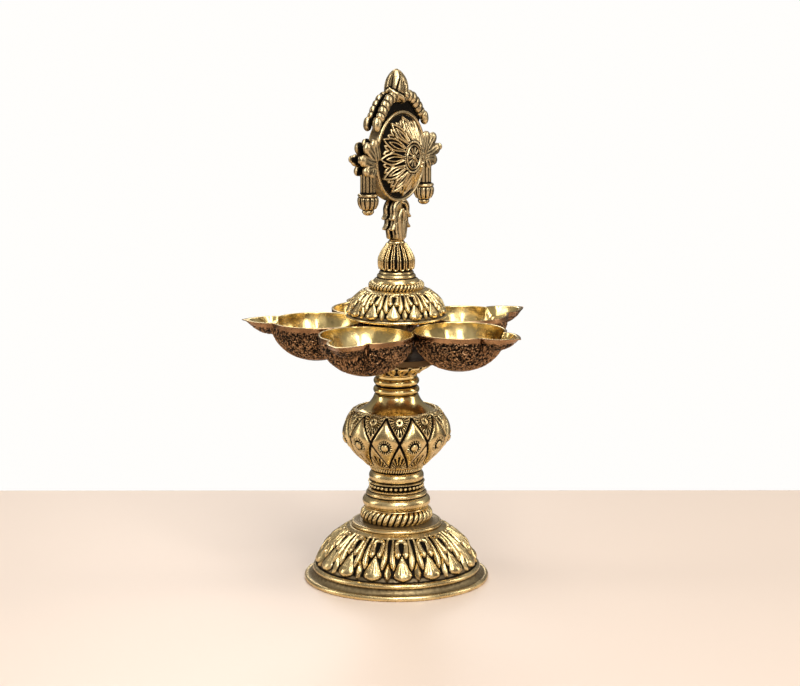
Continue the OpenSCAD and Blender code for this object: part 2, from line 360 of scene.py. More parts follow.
def motif_limbs(x, s, half_pitch):
    """Height of the loop, the leaf's legs, the spindle between motifs and the edge above them."""
    arch = ridge(np.hypot(x, s - LOOP_TOP) - LOOP_R, LOOP_HALF) * LOOP_RISE
    loop = np.where(s > LOOP_TOP, arch, strip(x, s, LOOP_LEG))
    half = np.interp(s, *LOZENGE)
    facet = np.clip(1 - (half_pitch - x) / np.maximum(half, 1e-6), 0, 1) ** 0.75
    edge = blend(s, SLOT_TOP, SLOT_TOP + 0.8)
    return np.maximum.reduce([
        loop, strip(x, s, LEAF_LEG), facet * LOZENGE_RISE * (half > 0), edge + 0 * x,
    ])


def motif_band(count, turn, length, size, along, radius, level, phi):
    """Relief of the chased border on the foot and the cap."""
    place = along / length * MOTIF_LENGTH
    half_pitch = motif_half_pitch(place)
    s = (place + MOTIF_START) / MOTIF_STRETCH
    x = np.abs(cell_offset(phi, count, turn)) * count / pi * half_pitch
    drop = strip(x, s, DROP)
    half = np.interp(s, DROP[0], DROP[2])
    wave = 0.5 + 0.5 * np.cos(x / np.maximum(half, 0.5) * 5.5 * pi)
    flutes = wave * (blend(s, 5.2, 7.2) * (drop > 0.2))
    limbs = motif_limbs(x, s, half_pitch)
    height = np.maximum(drop - FLUTE_DEPTH * flutes, limbs)
    outline = ridge(np.hypot(np.maximum(x - half, 0), np.maximum(DROP[0][0] - s, 0)), 0.8)
    outline = outline * (drop <= 0.1) * (s < DROP[0][-1])
    deep = (1 - blend(height, 0.25, 0.85)) * (0.2 + 0.8 * blend(s, 2.6, 5.2))
    deep = np.maximum.reduce([deep, outline, 0.5 * flutes * (drop > limbs)])
    matt = (1 - blend(height, 0.1, 0.4)) * (1 - blend(s, 3, 5.2))
    fade = blend(place, 0, 0.5)
    return size * (height - MOTIF_GROUND) * fade, deep * fade, matt


def rope(count, lean, amount, along, radius, level, phi):
    """Relief of twisted strands that rise to the right."""
    share = along / along.max()
    phase = (count * phi / (2 * pi) - lean * share) % 1 * 2 - 1
    height = amount * (ridge(phase, 0.98) - 0.7)
    return height, blend(np.abs(phase), 0.5, 0.86)


def beads(count, level_of_beads, radius_of_bead, along, radius, level, phi):
    """Relief of a row of round beads in a dark groove."""
    x = cell_offset(phi, count, 0) * radius
    distance = np.hypot(x, level - level_of_beads)
    height = radius_of_bead * ridge(distance, radius_of_bead)
    return height * 1.15, 1 - blend(height, 0.2, 0.6)


RIB_LINE = 0.63
RIB_BEND = 2.1


def ribs(count, turn, amount, start, end, along, radius, level, phi):
    """Relief of long U-shaped leaves with a dark slot in each, between two levels."""
    x = np.abs(cell_offset(phi, count, turn)) * count / pi
    half_pitch = pi * radius / count
    ends = blend(level, start + 1.2, start + 2.2) * (1 - blend(level, end - 0.6, end))
    wall = ridge(x - RIB_LINE, 0.27) * ends
    bottom = np.hypot(x * half_pitch, level - start - RIB_BEND)
    turn_up = ridge(bottom - RIB_LINE * half_pitch, 0.55)
    height = np.where(level < start + RIB_BEND, turn_up, wall)
    deep = (1 - blend(height, 0.1, 0.65)) * blend(level, start, start + 0.6)
    return amount * (height - 0.4) * blend(level, start - 0.4, start + 0.8), deep


def petals(count, amount, along, radius, level, phi):
    """Relief of leaves that stand side by side, each with a dark vein."""
    share = along / along.max()
    x = np.abs(cell_offset(phi, count, 0)) * count / pi
    half = 0.3 + 0.62 * np.sin(share * pi * 0.75) ** 0.7
    vein = ridge(x, 0.2) * blend(share, 0.15, 0.35) * (1 - blend(share, 0.75, 0.92))
    height = ridge(x, half) - 0.75 * vein
    return amount * (height - 0.4), 1 - blend(height, 0.1, 0.62)


# ---- The bulb's lattice ----

DIAMOND_COUNT = 11
LATTICE_TURN = -143.3
DIAMOND_UP = 15.0
DIAMOND_DOWN = 17.0
CROSSING_UP = 18.5
STUD_DROP = 1.6
SHELL_UP = 12.6
RAYS_DOWN = 17.8


def stud_relief(x, rise):
    """The round stud in the middle of each diamond, with notches that spread round it."""
    distance = np.hypot(x, rise)
    angle = np.arctan2(rise, x)
    boss = ridge(distance, 2.2)
    ring = blend(distance, 2.5, 2.7) * (1 - blend(distance, 4.1, 4.4))
    notches = blend(np.cos(18 * angle), -0.25, 0.05) * ring
    moat = blend(ridge(distance - 2.4, 0.5), 0, 0.6)
    deep = np.maximum(moat, notches)
    return boss * 1.1 + 0.25 * ring - 0.5 * moat - 0.55 * notches, deep


def fan_relief(x, rise, pitch, near, far):
    """Lines that spread upwards from a point, from a near to a far distance."""
    distance = np.hypot(x, rise)
    angle = np.degrees(np.arctan2(x, rise))
    phase = (angle / pitch + 0.5) % 1 - 0.5
    cut = blend(ridge(phase * radians(pitch) * distance, 0.1 + 0.065 * distance), 0.05, 0.5)
    return cut * blend(distance, near, near + 0.5) * (1 - blend(distance, far - 0.7, far))


def fans(x, rise, beside):
    """Cuts of the fans in the triangles: shells from the top, and rays from the bottom."""
    petal = 9.6 - 1.1 * np.cos(8 * np.arctan2(x, SHELL_UP - rise))
    shells = fan_relief(x, SHELL_UP - rise, 16.5, 1.9, petal) * beside * (rise > 0)
    dot = ridge(np.hypot(x, rise - SHELL_UP), 0.9)
    long = 10.2 - 2.2 * np.abs(np.sin(2 * np.arctan2(x, rise + RAYS_DOWN)))
    rays = fan_relief(x, rise + RAYS_DOWN, 17.5, 1.4, long) * beside * (rise < 0)
    return np.maximum.reduce([shells, dot, rays])


def lattice(along, radius, level, phi):
    """Relief of the bulb: puffy diamonds with studs, and fans in the triangles between."""
    from_crossing = cell_offset(phi, DIAMOND_COUNT, LATTICE_TURN)
    from_centre = cell_offset(phi, DIAMOND_COUNT, LATTICE_TURN + 180.0 / DIAMOND_COUNT)
    across = np.abs(from_centre) * DIAMOND_COUNT / pi
    rise = level - (BULB_Z + CROSSING_UP)
    steep = np.where(rise > 0, rise / DIAMOND_UP, -rise / DIAMOND_DOWN)
    inside = (1 - across - steep ** 1.08) * 7.4
    puff = 1 - (1 - np.clip(inside / 4.2, 0, 1)) ** 2
    leaf = 1 - (1 - np.clip(-inside / 2.6, 0, 1)) ** 2
    line = blend(ridge(inside, 0.8), 0, 0.7)
    height = 1.2 * np.where(inside > 0, puff, 0.4 * leaf) - 0.75 * line
    stud, stud_deep = stud_relief(from_centre * radius, rise + STUD_DROP)
    cuts = fans(from_crossing * radius, rise, blend(-inside, 0.8, 1.3))
    height += stud - 0.6 * cuts
    deep = np.maximum.reduce([line, stud_deep, cuts])
    ends = blend(level, BULB_Z + 0.5, BULB_Z + 1.0) * (1 - blend(level, BULB_TOP - 0.7, BULB_TOP))
    return height * ends, deep * ends


# ---- Materials ----

def shader_nodes(name):
    """A new material with an empty node tree, its output and its brass shader."""
    material = bpy.data.materials.new(name)
    material.use_nodes = True
    tree = material.node_tree
    tree.nodes.clear()
    output = tree.nodes.new("ShaderNodeOutputMaterial")
    surface = tree.nodes.new("ShaderNodeBsdfPrincipled")
    tree.links.new(surface.outputs["BSDF"], output.inputs["Surface"])
    surface.inputs["Metallic"].default_value = 1.0
    return material, tree, surface


def add_node(tree, kind, link=None, **values):
    """A new node with a link into its first input, and values on the inputs named."""
    node = tree.nodes.new("ShaderNode" + kind)
    if link is not None:
        tree.links.new(link, node.inputs[0])
    for name, value in values.items():
        node.inputs[name.replace("_", " ")].default_value = value
    return node


def noise_node(tree, scale, detail):
    """Noise over the object's own space, with cells 1/scale metres across."""
    place = add_node(tree, "TexCoord").outputs["Object"]
    return add_node(tree, "TexNoise", place, Scale=scale, Detail=detail).outputs["Fac"]


def layer_node(tree, layer):
    """A value that is stored on the mesh's points."""
    reader = add_node(tree, "Attribute")
    reader.attribute_name = layer
    return reader.outputs["Fac"]


def ramp(tree, value, low, high, start=0.0, end=1.0):
    """A value mapped from one range to another, held at the ends."""
    places = {"From_Min": low, "From_Max": high, "To_Min": start, "To_Max": end}
    return add_node(tree, "MapRange", value, **places).outputs["Result"]


def maths(tree, operation, first, second):
    """The sum, product or other combination of two values, either of which may be a number."""
    node = add_node(tree, "Math")
    node.operation = operation
    for socket, value in zip(node.inputs, (first, second)):
        if isinstance(value, (int, float)):
            socket.default_value = value
        else:
            tree.links.new(value, socket)
    return node.outputs[0]


def mixed(tree, share, first, second, kind="RGBA"):
    """A mix of two colours or, as FLOAT, of two values, each given as a colour or a link."""
    node = add_node(tree, "Mix")
    node.data_type = kind
    tree.links.new(share, node.inputs["Factor"])
    for socket, colour in ((node.inputs["A"], first), (node.inputs["B"], second)):
        if isinstance(colour, tuple):
            socket.default_value = (*colour, 1.0)
        else:
            tree.links.new(colour, socket)
    return node.outputs["Result"]


GRAIN_DEPTH = 0.0001
PATINA = (0.010, 0.008, 0.006)
BROWN = (0.14, 0.085, 0.038)
DULL = (0.21, 0.155, 0.085)


def brass(name, light, mid, shine=0.24, tarnish=0.35, grain=0.25, dulls=1.0, pitted=0.16):
    """Brass with patina in its hollows, worn bright edges, blotches and a fine cast grain."""
    material, tree, surface = shader_nodes(name)
    blotch = noise_node(tree, 70, 4)
    speck = noise_node(tree, 520, 4)
    cast = noise_node(tree, 2400, 2)
    recess = layer_node(tree, "recess")
    dull = maths(tree, "MULTIPLY", layer_node(tree, "tint"), dulls)
    edges = add_node(tree, "NewGeometry").outputs["Pointiness"]
    worn = ramp(tree, edges, 0.51, 0.57)
    creased = ramp(tree, edges, 0.485, 0.44, 0.0, 0.7)
    body = mixed(tree, ramp(tree, blotch, 0.35, 0.68), mid, light)
    stain = maths(tree, "MULTIPLY", ramp(tree, speck, 0.48, 0.75), tarnish)
    body = mixed(tree, stain, body, BROWN)
    body = mixed(tree, maths(tree, "MULTIPLY", worn, 0.7), body, light)
    body = mixed(tree, dull, body, DULL)
    body = mixed(tree, creased, body, BROWN)
    ragged = maths(tree, "ADD", recess, ramp(tree, speck, 0.2, 0.8, -pitted, pitted))
    aged = ramp(tree, ragged, 0.22, 0.8)
    body = mixed(tree, aged, body, PATINA)
    tree.links.new(body, surface.inputs["Base Color"])
    rough = ramp(tree, blotch, 0.3, 0.7, shine, shine + 0.1)
    for value, amount in ((stain, 0.3), (dull, 0.22), (aged, 0.3)):
        rough = maths(tree, "ADD", rough, maths(tree, "MULTIPLY", value, amount))
    tree.links.new(rough, surface.inputs["Roughness"])
    coarse = maths(tree, "ADD", maths(tree, "MULTIPLY", dull, 5.0), 1.5)
    height = maths(tree, "ADD", cast, maths(tree, "MULTIPLY", speck, coarse))
    bump = add_node(tree, "Bump", Strength=grain, Distance=GRAIN_DEPTH)
    tree.links.new(height, bump.inputs["Height"])
    tree.links.new(bump.outputs["Normal"], surface.inputs["Normal"])
    return material


PALE_GOLD = (0.88, 0.68, 0.34)
GOLD = (0.56, 0.39, 0.165)
BRIGHT_GOLD = (0.92, 0.71, 0.32)
YELLOW = (0.72, 0.51, 0.19)
OLD_GOLD = (0.74, 0.57, 0.31)
OLD_BRASS = (0.40, 0.285, 0.14)
COPPER = (0.50, 0.28, 0.135)
OLD_COPPER = (0.22, 0.115, 0.055)
SHADOW = (0.05, 0.035, 0.022)

ANTIQUE = brass("antique_brass_chased", PALE_GOLD, GOLD, shine=0.2, grain=0.16)
POLISHED = brass("polished_brass_turned", BRIGHT_GOLD, YELLOW, shine=0.13, tarnish=0.15, grain=0.1)
AGED = brass("aged_brass_finial", OLD_GOLD, OLD_BRASS, shine=0.22, tarnish=0.5, grain=0.16)
THREADED = brass("thread_brass_worn", GOLD, BROWN, shine=0.34, tarnish=0.6)
# Painted shadow: near-black brown colours on the hub plate stand in for the shade it lies in between the
# bowls.
PAINTED_SHADOW_PLATE = brass("brass_plate_painted_shadow", BROWN, SHADOW, shine=0.45, tarnish=0.6)


def bowl_brass():
    """Coppery stippled brass outside and bright polished brass inside, told apart by the tint."""
    material = brass(
        "stippled_brass_bowl", COPPER, OLD_COPPER, shine=0.2, tarnish=0.4, dulls=0.0, pitted=0.4,
    )
    tree = material.node_tree
    surface = tree.nodes["Principled BSDF"]
    outside = surface.inputs["Base Color"].links[0].from_socket
    rough = surface.inputs["Roughness"].links[0].from_socket
    within = layer_node(tree, "tint")
    wave = noise_node(tree, 60, 3)
    inside = mixed(tree, ramp(tree, wave, 0.35, 0.7), YELLOW, BRIGHT_GOLD)
    smudge = maths(tree, "MULTIPLY", ramp(tree, noise_node(tree, 240, 5), 0.52, 0.75), 0.45)
    inside = mixed(tree, smudge, inside, BROWN)
    tree.links.new(mixed(tree, within, outside, inside), surface.inputs["Base Color"])
    soft = ramp(tree, wave, 0.3, 0.7, 0.14, 0.26)
    tree.links.new(mixed(tree, within, rough, soft, "FLOAT"), surface.inputs["Roughness"])
    return material


STIPPLED = bowl_brass()


def lathe(node, strokes, columns, material=ANTIQUE):
    """A piece turned about the lamp's axis, of chased brass unless told otherwise."""
    return piece(node, [turned(strokes, columns)], material)


# ---- Foot ----

NUT_R = 6.5


def make_foot():
    """The domed foot with its chased border."""
    centre = (9.5, CROWN_Z - 36.8)
    inside_r = 38.25
    edge = [
        (-4, 0), (-1, 0), (-0.4, 0.2), (0, 0.8), (0, 1.9), (-0.3, 2.5), (-0.9, 2.9), (-1.6, 3), (-2, 2.8),
    ]
    flange = [(-2, 2.8), (-2.6, 2.9), (-3.6, 3.3), (-4.6, 4.1), (-5.2, 5), (-5.5, 5.8)]
    ring = arc((48.6, 7.1), 1.7, -40, 80, 12)
    border = arc(centre, 40.85, 19, 63, 84)
    crown = [(27.0, CROWN_Z), (NUT_R, CROWN_Z), (NUT_R, CROWN_Z - 2.6)]
    inside = arc(centre, inside_r, 62, 12, 10) + [(48.4, 2.4)]
    band = partial(motif_band, MOTIF_COUNT, -142.2, MOTIF_LENGTH, 1.0)
    strokes = [
        (up(edge, 0, FOOT_R), 1.5), (up(flange, 0, FOOT_R), 1.5, None, 0.7), (ring, 0.7),
        (border, 0.42, band), (crown, 8, None, 0.8), (inside, 9, None, 0.8),
    ]
    return lathe("foot", strokes, 44 * MOTIF_COUNT)


def make_collar():
    """The collar on the foot's crown: a bright double edge round a dull turned top."""
    edge = up(arc((-1.05, 0.95), 1.05, -64, 66, 10), CROWN_Z, COLLAR_R)
    step = up([(-0.95, 1.95), (-0.7, 2.1), (-0.75, 2.4), (-1.1, 2.55)], CROWN_Z, COLLAR_R)
    top = up([(-1.5, -0.4), (-1.9, -0.2)], ROPE_Z, COLLAR_R)
    for radius in (24.4, 23.3, 22.4):
        top += up([(0.35, -0.1), (0, -0.25), (-0.35, -0.06)], ROPE_Z, radius)
    under = [(NUT_R, ROPE_Z), (NUT_R, CROWN_Z), (COLLAR_R - 0.7, CROWN_Z)]
    strokes = [(edge, 0.5), (step, 0.3), (top, 0.4, None, 0.9), (under, 6, None, 0.8)]
    return lathe("foot_collar", strokes, 192, ANTIQUE)


# ---- Stem ----

ROPE_STRANDS = 35


def make_rope_ring():
    """The thick rope at the bottom of the stem."""
    strand_r = (STEM_Z - ROPE_Z) / 2 + 0.2
    centre = (ROPE_R - strand_r, (ROPE_Z + STEM_Z) / 2)
    outer = arc(centre, strand_r, -71, 71, 26)
    back = [(13.6, outer[-1][1]), (13.6, outer[0][1])]
    strokes = [(outer, 0.5, partial(rope, ROPE_STRANDS, 0.95, 2.0)), (back, 5)]
    return lathe("rope_ring", strokes, 18 * ROPE_STRANDS)


def make_stem_base():
    """The turned rings between the rope and the bulb, with a row of beads."""
    z = STEM_Z
    low = [(0, ROPE_Z), (13.6, ROPE_Z), (13.6, z), (17.8, z), (18.4, z + 0.5), (18.2, z + 1)]
    torus = up(arc((16.7, 4.7), 3.6, -76, 72, 14), z)
    step = up(arc((16.9, 9.5), 1.3, -55, 65, 8), z)
    ridge_below = up([(16.5, 11.3), (16.95, 11.7), (16.95, 12.1), (16.2, 12.5), (15.3, 12.7)], z)
    groove = up([(15.3, 12.8), (15.3, 15.9)], z)
    ridge_above = up([(16.3, 16.1), (16.95, 16.5), (16.9, 16.9), (16.2, 17.1)], z)
    band = up(arc((12.6, 19.9), 3.8, -38, 62, 9), z)
    below = BULB_Z - 2.5
    strand = up([(14.4, 0), (15.3, 0.4), (15.6, 1.0), (15.5, 1.8), (15.1, 2.4)], below)
    top = [(15.0, BULB_Z), (0, BULB_Z)]
    strokes = [
        (low, 4), (torus, 1), (step, 0.6), (ridge_below, 0.6),
        (groove, 0.2, partial(beads, 34, z + 14.35, 1.1)), (ridge_above, 0.6), (band, 0.8),
        (strand, 0.25, partial(rope, 64, 0.6, 1.1)), (top, 15),
    ]
    return lathe("stem_base", strokes, 640)


def bulb_radius(level):
    """Radius of the bulb's outside at a level."""
    middle = BULB_Z + 20.5
    if level > middle:
        return BULB_R * sqrt(1 - ((level - middle) / 22.8) ** 2)
    return BULB_R - 0.155 * (middle - level) ** 1.5


def make_bulb():
    """The bulb with its lattice of diamonds."""
    heights = np.linspace(BULB_Z + 0.5, BULB_TOP, 96)
    outside = [(bulb_radius(z), z) for z in heights]
    wall = 2.2
    inside = [(bulb_radius(z) - wall, z) for z in np.linspace(NECK_SEAT - wall, BULB_Z + wall, 9)]
    foot = [(ROD_R, BULB_Z), (15.2, BULB_Z)]
    ring = [(24.7, -0.25), (24.35, -0.2), (24.1, 0.25), (23.7, 0.45), (23.3, 0.3), (23.15, -0.4)]
    seat = [(22.8, NECK_SEAT), (20.6, NECK_SEAT), (20.6, NECK_SEAT - wall)]
    inside.append((ROD_R, BULB_Z + wall))
    strokes = [
        (foot, 15), (outside, 1.2, lattice), (up(ring, BULB_TOP), 0.6), (seat, 3), (inside, 15),
    ]
    return lathe("bulb", strokes, 68 * DIAMOND_COUNT)


def make_neck():
    """The polished flared neck with two rings."""
    z = NECK_SEAT + 1.5
    outline = [(ROD_R, NECK_SEAT), (22.7, NECK_SEAT), (22.9, NECK_SEAT + 0.7), (22.6, z)]
    flare = arc((26.5, z + 13.5), 14.0, -105.4, -162.2, 30)
    rings = up(arc((11.4, 12.25), 2.35, -74, 74, 16) + arc((11.3, 17.5), 2.3, -74, 74, 16), z)
    top = [(12.3, HUB_Z - 1.3), (12.3, HUB_Z), (ROD_R, HUB_Z)]
    strokes = [(outline, 3), (flare, 0.8), (rings, 0.7), (top, 6)]
    return lathe("neck", strokes, 192, POLISHED)


# ---- Threads ----

THREAD_DEPTH = 0.35


def thread(pitch, along, radius, level, phi):
    """Relief of a screw thread, cut into the stud."""
    phase = (level / pitch - phi / (2 * pi)) % 1
    depth = np.abs(phase * 2 - 1)
    return -THREAD_DEPTH * 2 * np.clip(depth - 0.3, 0, 0.5), blend(depth, 0.4, 1.0) * 0.8


def threaded_rod(node, radius, pitch):
    """A threaded stud with chamfered ends."""
    low, high = levels(node)
    bottom = [(0, low), (radius - 0.5, low)]
    side = [(radius - 0.5, low), (radius, low + 0.5), (radius, high - 0.5), (radius - 0.5, high)]
    top = [(radius - 0.5, high), (0, high)]
    strokes = [(bottom, 4), (side, pitch / 6, partial(thread, pitch)), (top, 4)]
    return lathe(node, strokes, 48, THREADED)


# ---- Bowls ----

BOWL_R = 27.7
BOWL_DEPTH = RIM_Z - levels("wick_bowl_1")[0]
BOWL_WALL = 1.6
RING_R = 47.3
SPOUT_REACH = 44.6
SPOUT_BASE = 25.2
SPOUT_LIFT = 4.6
FIRST_SPOUT = 119.5
BOWL_COUNT = 5
BAND_WIDTH = 2.9

# The lip's rows: share of the way across the wall, level and share of the inside's polish
LIP = ((0, -0.35, 0), (0.12, -0.1, 0.35), (0.32, 0, 0.8), (0.68, 0, 1), (0.88, -0.1, 1), (1, -0.35, 1))


def spout_section(x, grow):
    """Radius of the spindle that the spout is cut from, at a distance from the bowl's centre."""
    t = np.clip((x - SPOUT_BASE) / (SPOUT_REACH - SPOUT_BASE + grow), 0, 1)
    half = 11.7 * (1 - t) * (1 + 1.3 * t) + 0.5 * (1 - t)
    return np.hypot(half, SPOUT_LIFT) + grow


def spout_half(x, grow):
    """Half width of the spout at the rim."""
    return np.sqrt(np.maximum(spout_section(x, grow) ** 2 - SPOUT_LIFT ** 2, 0))


def bowl_outline(grow, angles):
    """Distance from a bowl's centre to its rim, at angles from the spout's direction."""
    reach_of_spout = SPOUT_REACH + grow
    x = np.linspace(SPOUT_BASE - 2, reach_of_spout, 300)
    y = spout_half(x, grow)
    y[-1] = 0
    side = np.arctan2(y, x)[::-1]
    far = np.hypot(x, y)[::-1]
    spout = np.interp(np.abs(angles), side, far, right=0)
    return np.maximum(BOWL_R + grow, spout)


def bowl_depth(x, y, grow):
    """Depth of the bowl or its spout below the rim, whichever is deeper."""
    share = np.hypot(x, y) / (BOWL_R + grow)
    bowl = (BOWL_DEPTH + grow) * np.sqrt(np.clip(1 - share ** 2, 0, 1))
    section = spout_section(x, grow)
    spout = np.sqrt(np.clip(section ** 2 - y ** 2, 0, None)) - SPOUT_LIFT
    spout = np.where((x > 8) & (x < SPOUT_REACH + grow), spout, 0)
    return np.maximum(bowl, np.maximum(spout, 0))


def bowl_angles(count):
    """Column angles, spread evenly along the outline."""
    angles = np.linspace(-pi, pi, 4001)
    far = bowl_outline(0, angles)
    along = lengths(np.stack([far * np.cos(angles), far * np.sin(angles)], -1))
    even = np.arange(count) / count * along[-1]
    return np.interp(even, along, angles)


def stipple(points, seed):
    """Random hammered texture from 0 in its pits to 1 on its crests, at each point."""
    shift = Vector((seed * 17.0, seed * 5.0, seed * 11.0))
    values = []
    for point in points:
        place = Vector(point) + shift
        bend = noise.noise(place * 0.45)
        worms = abs(noise.noise(place * 1.0 + Vector((bend, bend, 0))))
        fine = noise.noise(place * 1.6)
        values.append(worms * 2.4 + fine * 0.45)
    return np.clip(np.array(values), 0, 1)


def bowl_surface(angles, grow, fall):
    """Rows of points on the bowl's outside or inside, at angles of fall below its rim."""
    far = bowl_outline(grow, angles)[None, :] * np.cos(np.radians(fall))[:, None]
    x, y = far * np.cos(angles), far * np.sin(angles)
    return np.stack([x, y, -bowl_depth(x, y, grow)], -1)


def bowl_lip(angles):
    """Rows of points over the rounded lip, from the outside to the inside."""
    rows = []
    for share, level, _ in LIP:
        edge = bowl_outline(0, angles) * (1 - share) + bowl_outline(-BOWL_WALL, angles) * share
        rows.append(np.stack([edge * np.cos(angles), edge * np.sin(angles), np.full_like(edge, level)], -1))
    return np.array(rows)


def hammered(outside, seed):
    """Presses the texture into the bowl's outside, and returns how deep the tarnish lies."""
    crest = np.zeros(outside.shape[:2])
    crest[1:-1] = stipple(outside[1:-1].reshape(-1, 3), seed).reshape(len(outside) - 2, -1)
    depth = -outside[..., 2]
    zone = 1 - blend(depth, BOWL_DEPTH - 3.2, BOWL_DEPTH - 1.8)
    zone = blend(depth, BAND_WIDTH - 0.4, BAND_WIDTH + 0.5) * zone
    direction = outside / np.maximum(np.linalg.norm(outside, axis=-1, keepdims=True), 1e-6)
    outside += direction * ((crest - 0.75) * 0.9 * zone)[..., None]
    return np.clip(1.5 - crest * 1.6, 0, 1) * zone


def make_bowl(number):
    """One wick bowl: a hammered outside, a rounded lip and a polished inside."""
    angles = bowl_angles(360)
    outside = bowl_surface(angles, 0.0, np.linspace(90, 1.2, 72))
    inside = bowl_surface(angles, -BOWL_WALL, np.linspace(1.5, 90, 20))
    for row in inside[1:-1]:
        row[:, 2] += [0.6 * noise.noise(Vector((x * 0.2, y * 0.2, number * 9.0))) for x, y, _ in row]
    outside[0] = (0, 0, -BOWL_DEPTH)
    inside[-1] = (0, 0, BOWL_WALL - BOWL_DEPTH)
    recess = hammered(outside, number)
    for row in (outside[-1], inside[0]):
        row[:, 2] = np.minimum(row[:, 2], -0.5)
    grid = np.vstack([outside, bowl_lip(angles), inside])
    deep = np.zeros(grid.shape[:2])
    deep[:len(outside)] = recess
    tint = np.array([0] * len(outside) + [tint for *_, tint in LIP] + [1] * len(inside))
    turn = radians(FIRST_SPOUT + 360.0 / BOWL_COUNT * (number - 1))
    c, s = cos(turn), sin(turn)

    def place(x, y, z):
        return (x + RING_R) * c - y * s, (x + RING_R) * s + y * c, z + RIM_Z

    made = moved(shell(grid, deep, tint[:, None]), place)
    return piece("wick_bowl_%d" % number, [made], STIPPLED)


def make_rosette():
    """The leafy rosette under the bowl ring."""
    low = up([(ROD_R + GAP, 0), (12.4, 0), (13.2, 1)], HUB_Z)
    leaves = up(rounded([(13.2, 1), (15.6, 3.1), (19.4, 5.3), (20.5, 6.5)]), HUB_Z)
    top = up([(20.2, 7.3), (15, 8.5), (13, 9.6), (ROD_R + GAP, 9.6)], HUB_Z)
    strokes = [(low, 1), (leaves, 0.5, partial(petals, 16, 0.9)), (top, 3)]
    return lathe("hub_rosette", strokes, 16 * 24)


# ---- Cap ----

CAP_MOTIFS = 13


def make_cap_dome():
    """The cap with the same chased border as the foot, smaller."""
    centre = (CAP_R - 19.8, RIM_Z + 1.9)
    z = RIM_Z + 2.7
    rim = [(CAP_R - 2.4, BOSS_Z + 0.4)]
    rim += up([(-0.5, 0), (-0.1, 0.25), (0, 0.6), (-0.1, 1.05), (-0.5, 1.4), (-1.0, 1.7)], z, CAP_R)
    border = arc(centre, 19.3, 8, 66, 62)
    crown = [(17, CAP_TOP), (5.05, CAP_TOP), (5.05, BOSS_Z), (9, BOSS_Z), (9, centre[1] + 15.2)]
    inside = arc(centre, 17.2, 62, 3, 8)
    length = radians(58) * 19.3
    band = partial(motif_band, CAP_MOTIFS, -123.0, length, 0.72)
    strokes = [(rim, 1.0), (border, 0.4, band), (crown, 12, None, 0.6), (inside, 16, None, 0.8)]
    return lathe("cap_dome", strokes, 40 * CAP_MOTIFS)


CAP_STRANDS = 42


def make_cap_rope():
    """The small rope on top of the cap."""
    height = BUD_Z - CAP_TOP
    outer = arc((14.25, CAP_TOP + height / 2), 1.95, -76, 76, 16)
    back = [(9, outer[-1][1]), (9, outer[0][1])]
    strokes = [(outer, 0.4, partial(rope, CAP_STRANDS, 0.95, 1.15)), (back, 4)]
    return lathe("cap_rope_ring", strokes, 14 * CAP_STRANDS)


BUD_RIBS = 17


def make_bud():
    """The ribbed bud above the cap."""
    z = BUD_Z
    base = [(0, CAP_TOP), (9, CAP_TOP), (9, z)]
    rings = up([
        (13.4, 0), (13.65, 0.3), (13.5, 0.8), (13, 1.6), (12.1, 2.3), (11.4, 2.7), (11.3, 3), (11.5, 3.4),
        (11.4, 4), (10.9, 4.6), (10.3, 5), (10.2, 5.3), (10.3, 5.7), (10, 6.2), (9.5, 6.7),
    ], z)
    belly = up(rounded([
        (9.4, 7), (9.9, 8), (10.3, 10.5), (10.25, 13.5), (9.4, 15.9), (7.8, 18.9), (6.2, 21.1), (5.4, 22.6),
    ]), z)
    tip = up([(5.0, 22.9), (5.1, 23.4), (4.8, 24.0), (4.3, 24.5), (0, 24.5)], z)
    leaves = partial(ribs, BUD_RIBS, 0, 1.25, z + 7.0, z + 23.0)
    strokes = [(base, 8), (rings, 0.9), (belly, 0.36, leaves), (tip, 1.2)]
    return lathe("cap_bud", strokes, 24 * BUD_RIBS)


def make_cap_tube():
    """The tube that carries the cap, with a threaded top."""
    low, high = levels("cap_tube")
    bore = ROD_R + GAP
    outline = [(bore, low), (9.5, low), (9.5, low + 2), (7, low + 3.5), (7, BOSS_Z), (STUD_R, BOSS_Z)]
    side = [(STUD_R, BOSS_Z), (STUD_R, high - 0.5), (STUD_R - 0.5, high)]
    inside = [(STUD_R - 0.5, high), (2, high), (2, ROD_TOP + 1), (bore, ROD_TOP + 1)]
    strokes = [(outline, 4), (side, 0.25, partial(thread, 1.5)), (inside, 6)]
    return lathe("cap_tube", strokes, 64, THREADED)


# ---- Finial ----

def facing(side):
    """Puts a shape drawn across and up on the disc's front or back, with its height outwards."""
    def place(x, y, z):
        return x * side, -z * side, y + DISC_Z
    return place


FACES = (("front", 1), ("back", -1))
PETAL_COUNT = 12
HALF_DRUM = (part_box("lotus_back")[0].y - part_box("lotus_front")[1].y) / 2 / MM


def line_relief(x, y, points, half):
    """Height of a round ridge along a line of straight stretches."""
    nearest = np.full(np.broadcast(x, y).shape, np.inf)
    for (x0, y0), (x1, y1) in zip(points, points[1:]):
        dx, dy = x1 - x0, y1 - y0
        share = np.clip(((x - x0) * dx + (y - y0) * dy) / hypot(dx, dy) ** 2, 0, 1)
        nearest = np.minimum(nearest, np.hypot(x - x0 - share * dx, y - y0 - share * dy))
    return ridge(nearest, half)


LONG_PETAL = [(1.0, 9.8), (1.9, 12.0), (2.9, 14.4), (3.2, 16.4), (2.6, 18.8), (1.2, 21.2), (0, 22.8)]
INNER_PETAL = [(0.45, 10.5), (1.15, 13.4), (1.3, 15.4), (0.85, 17.6), (0, 19.4)]
ZIGZAG = [(3.5, 17.0), (3.1, 18.6), (2.3, 21.0), (1.0, 20.4), (0, 18.7)]
ZIGZAG_INNER = [(1.9, 17.8), (0.95, 17.5), (0, 15.9)]


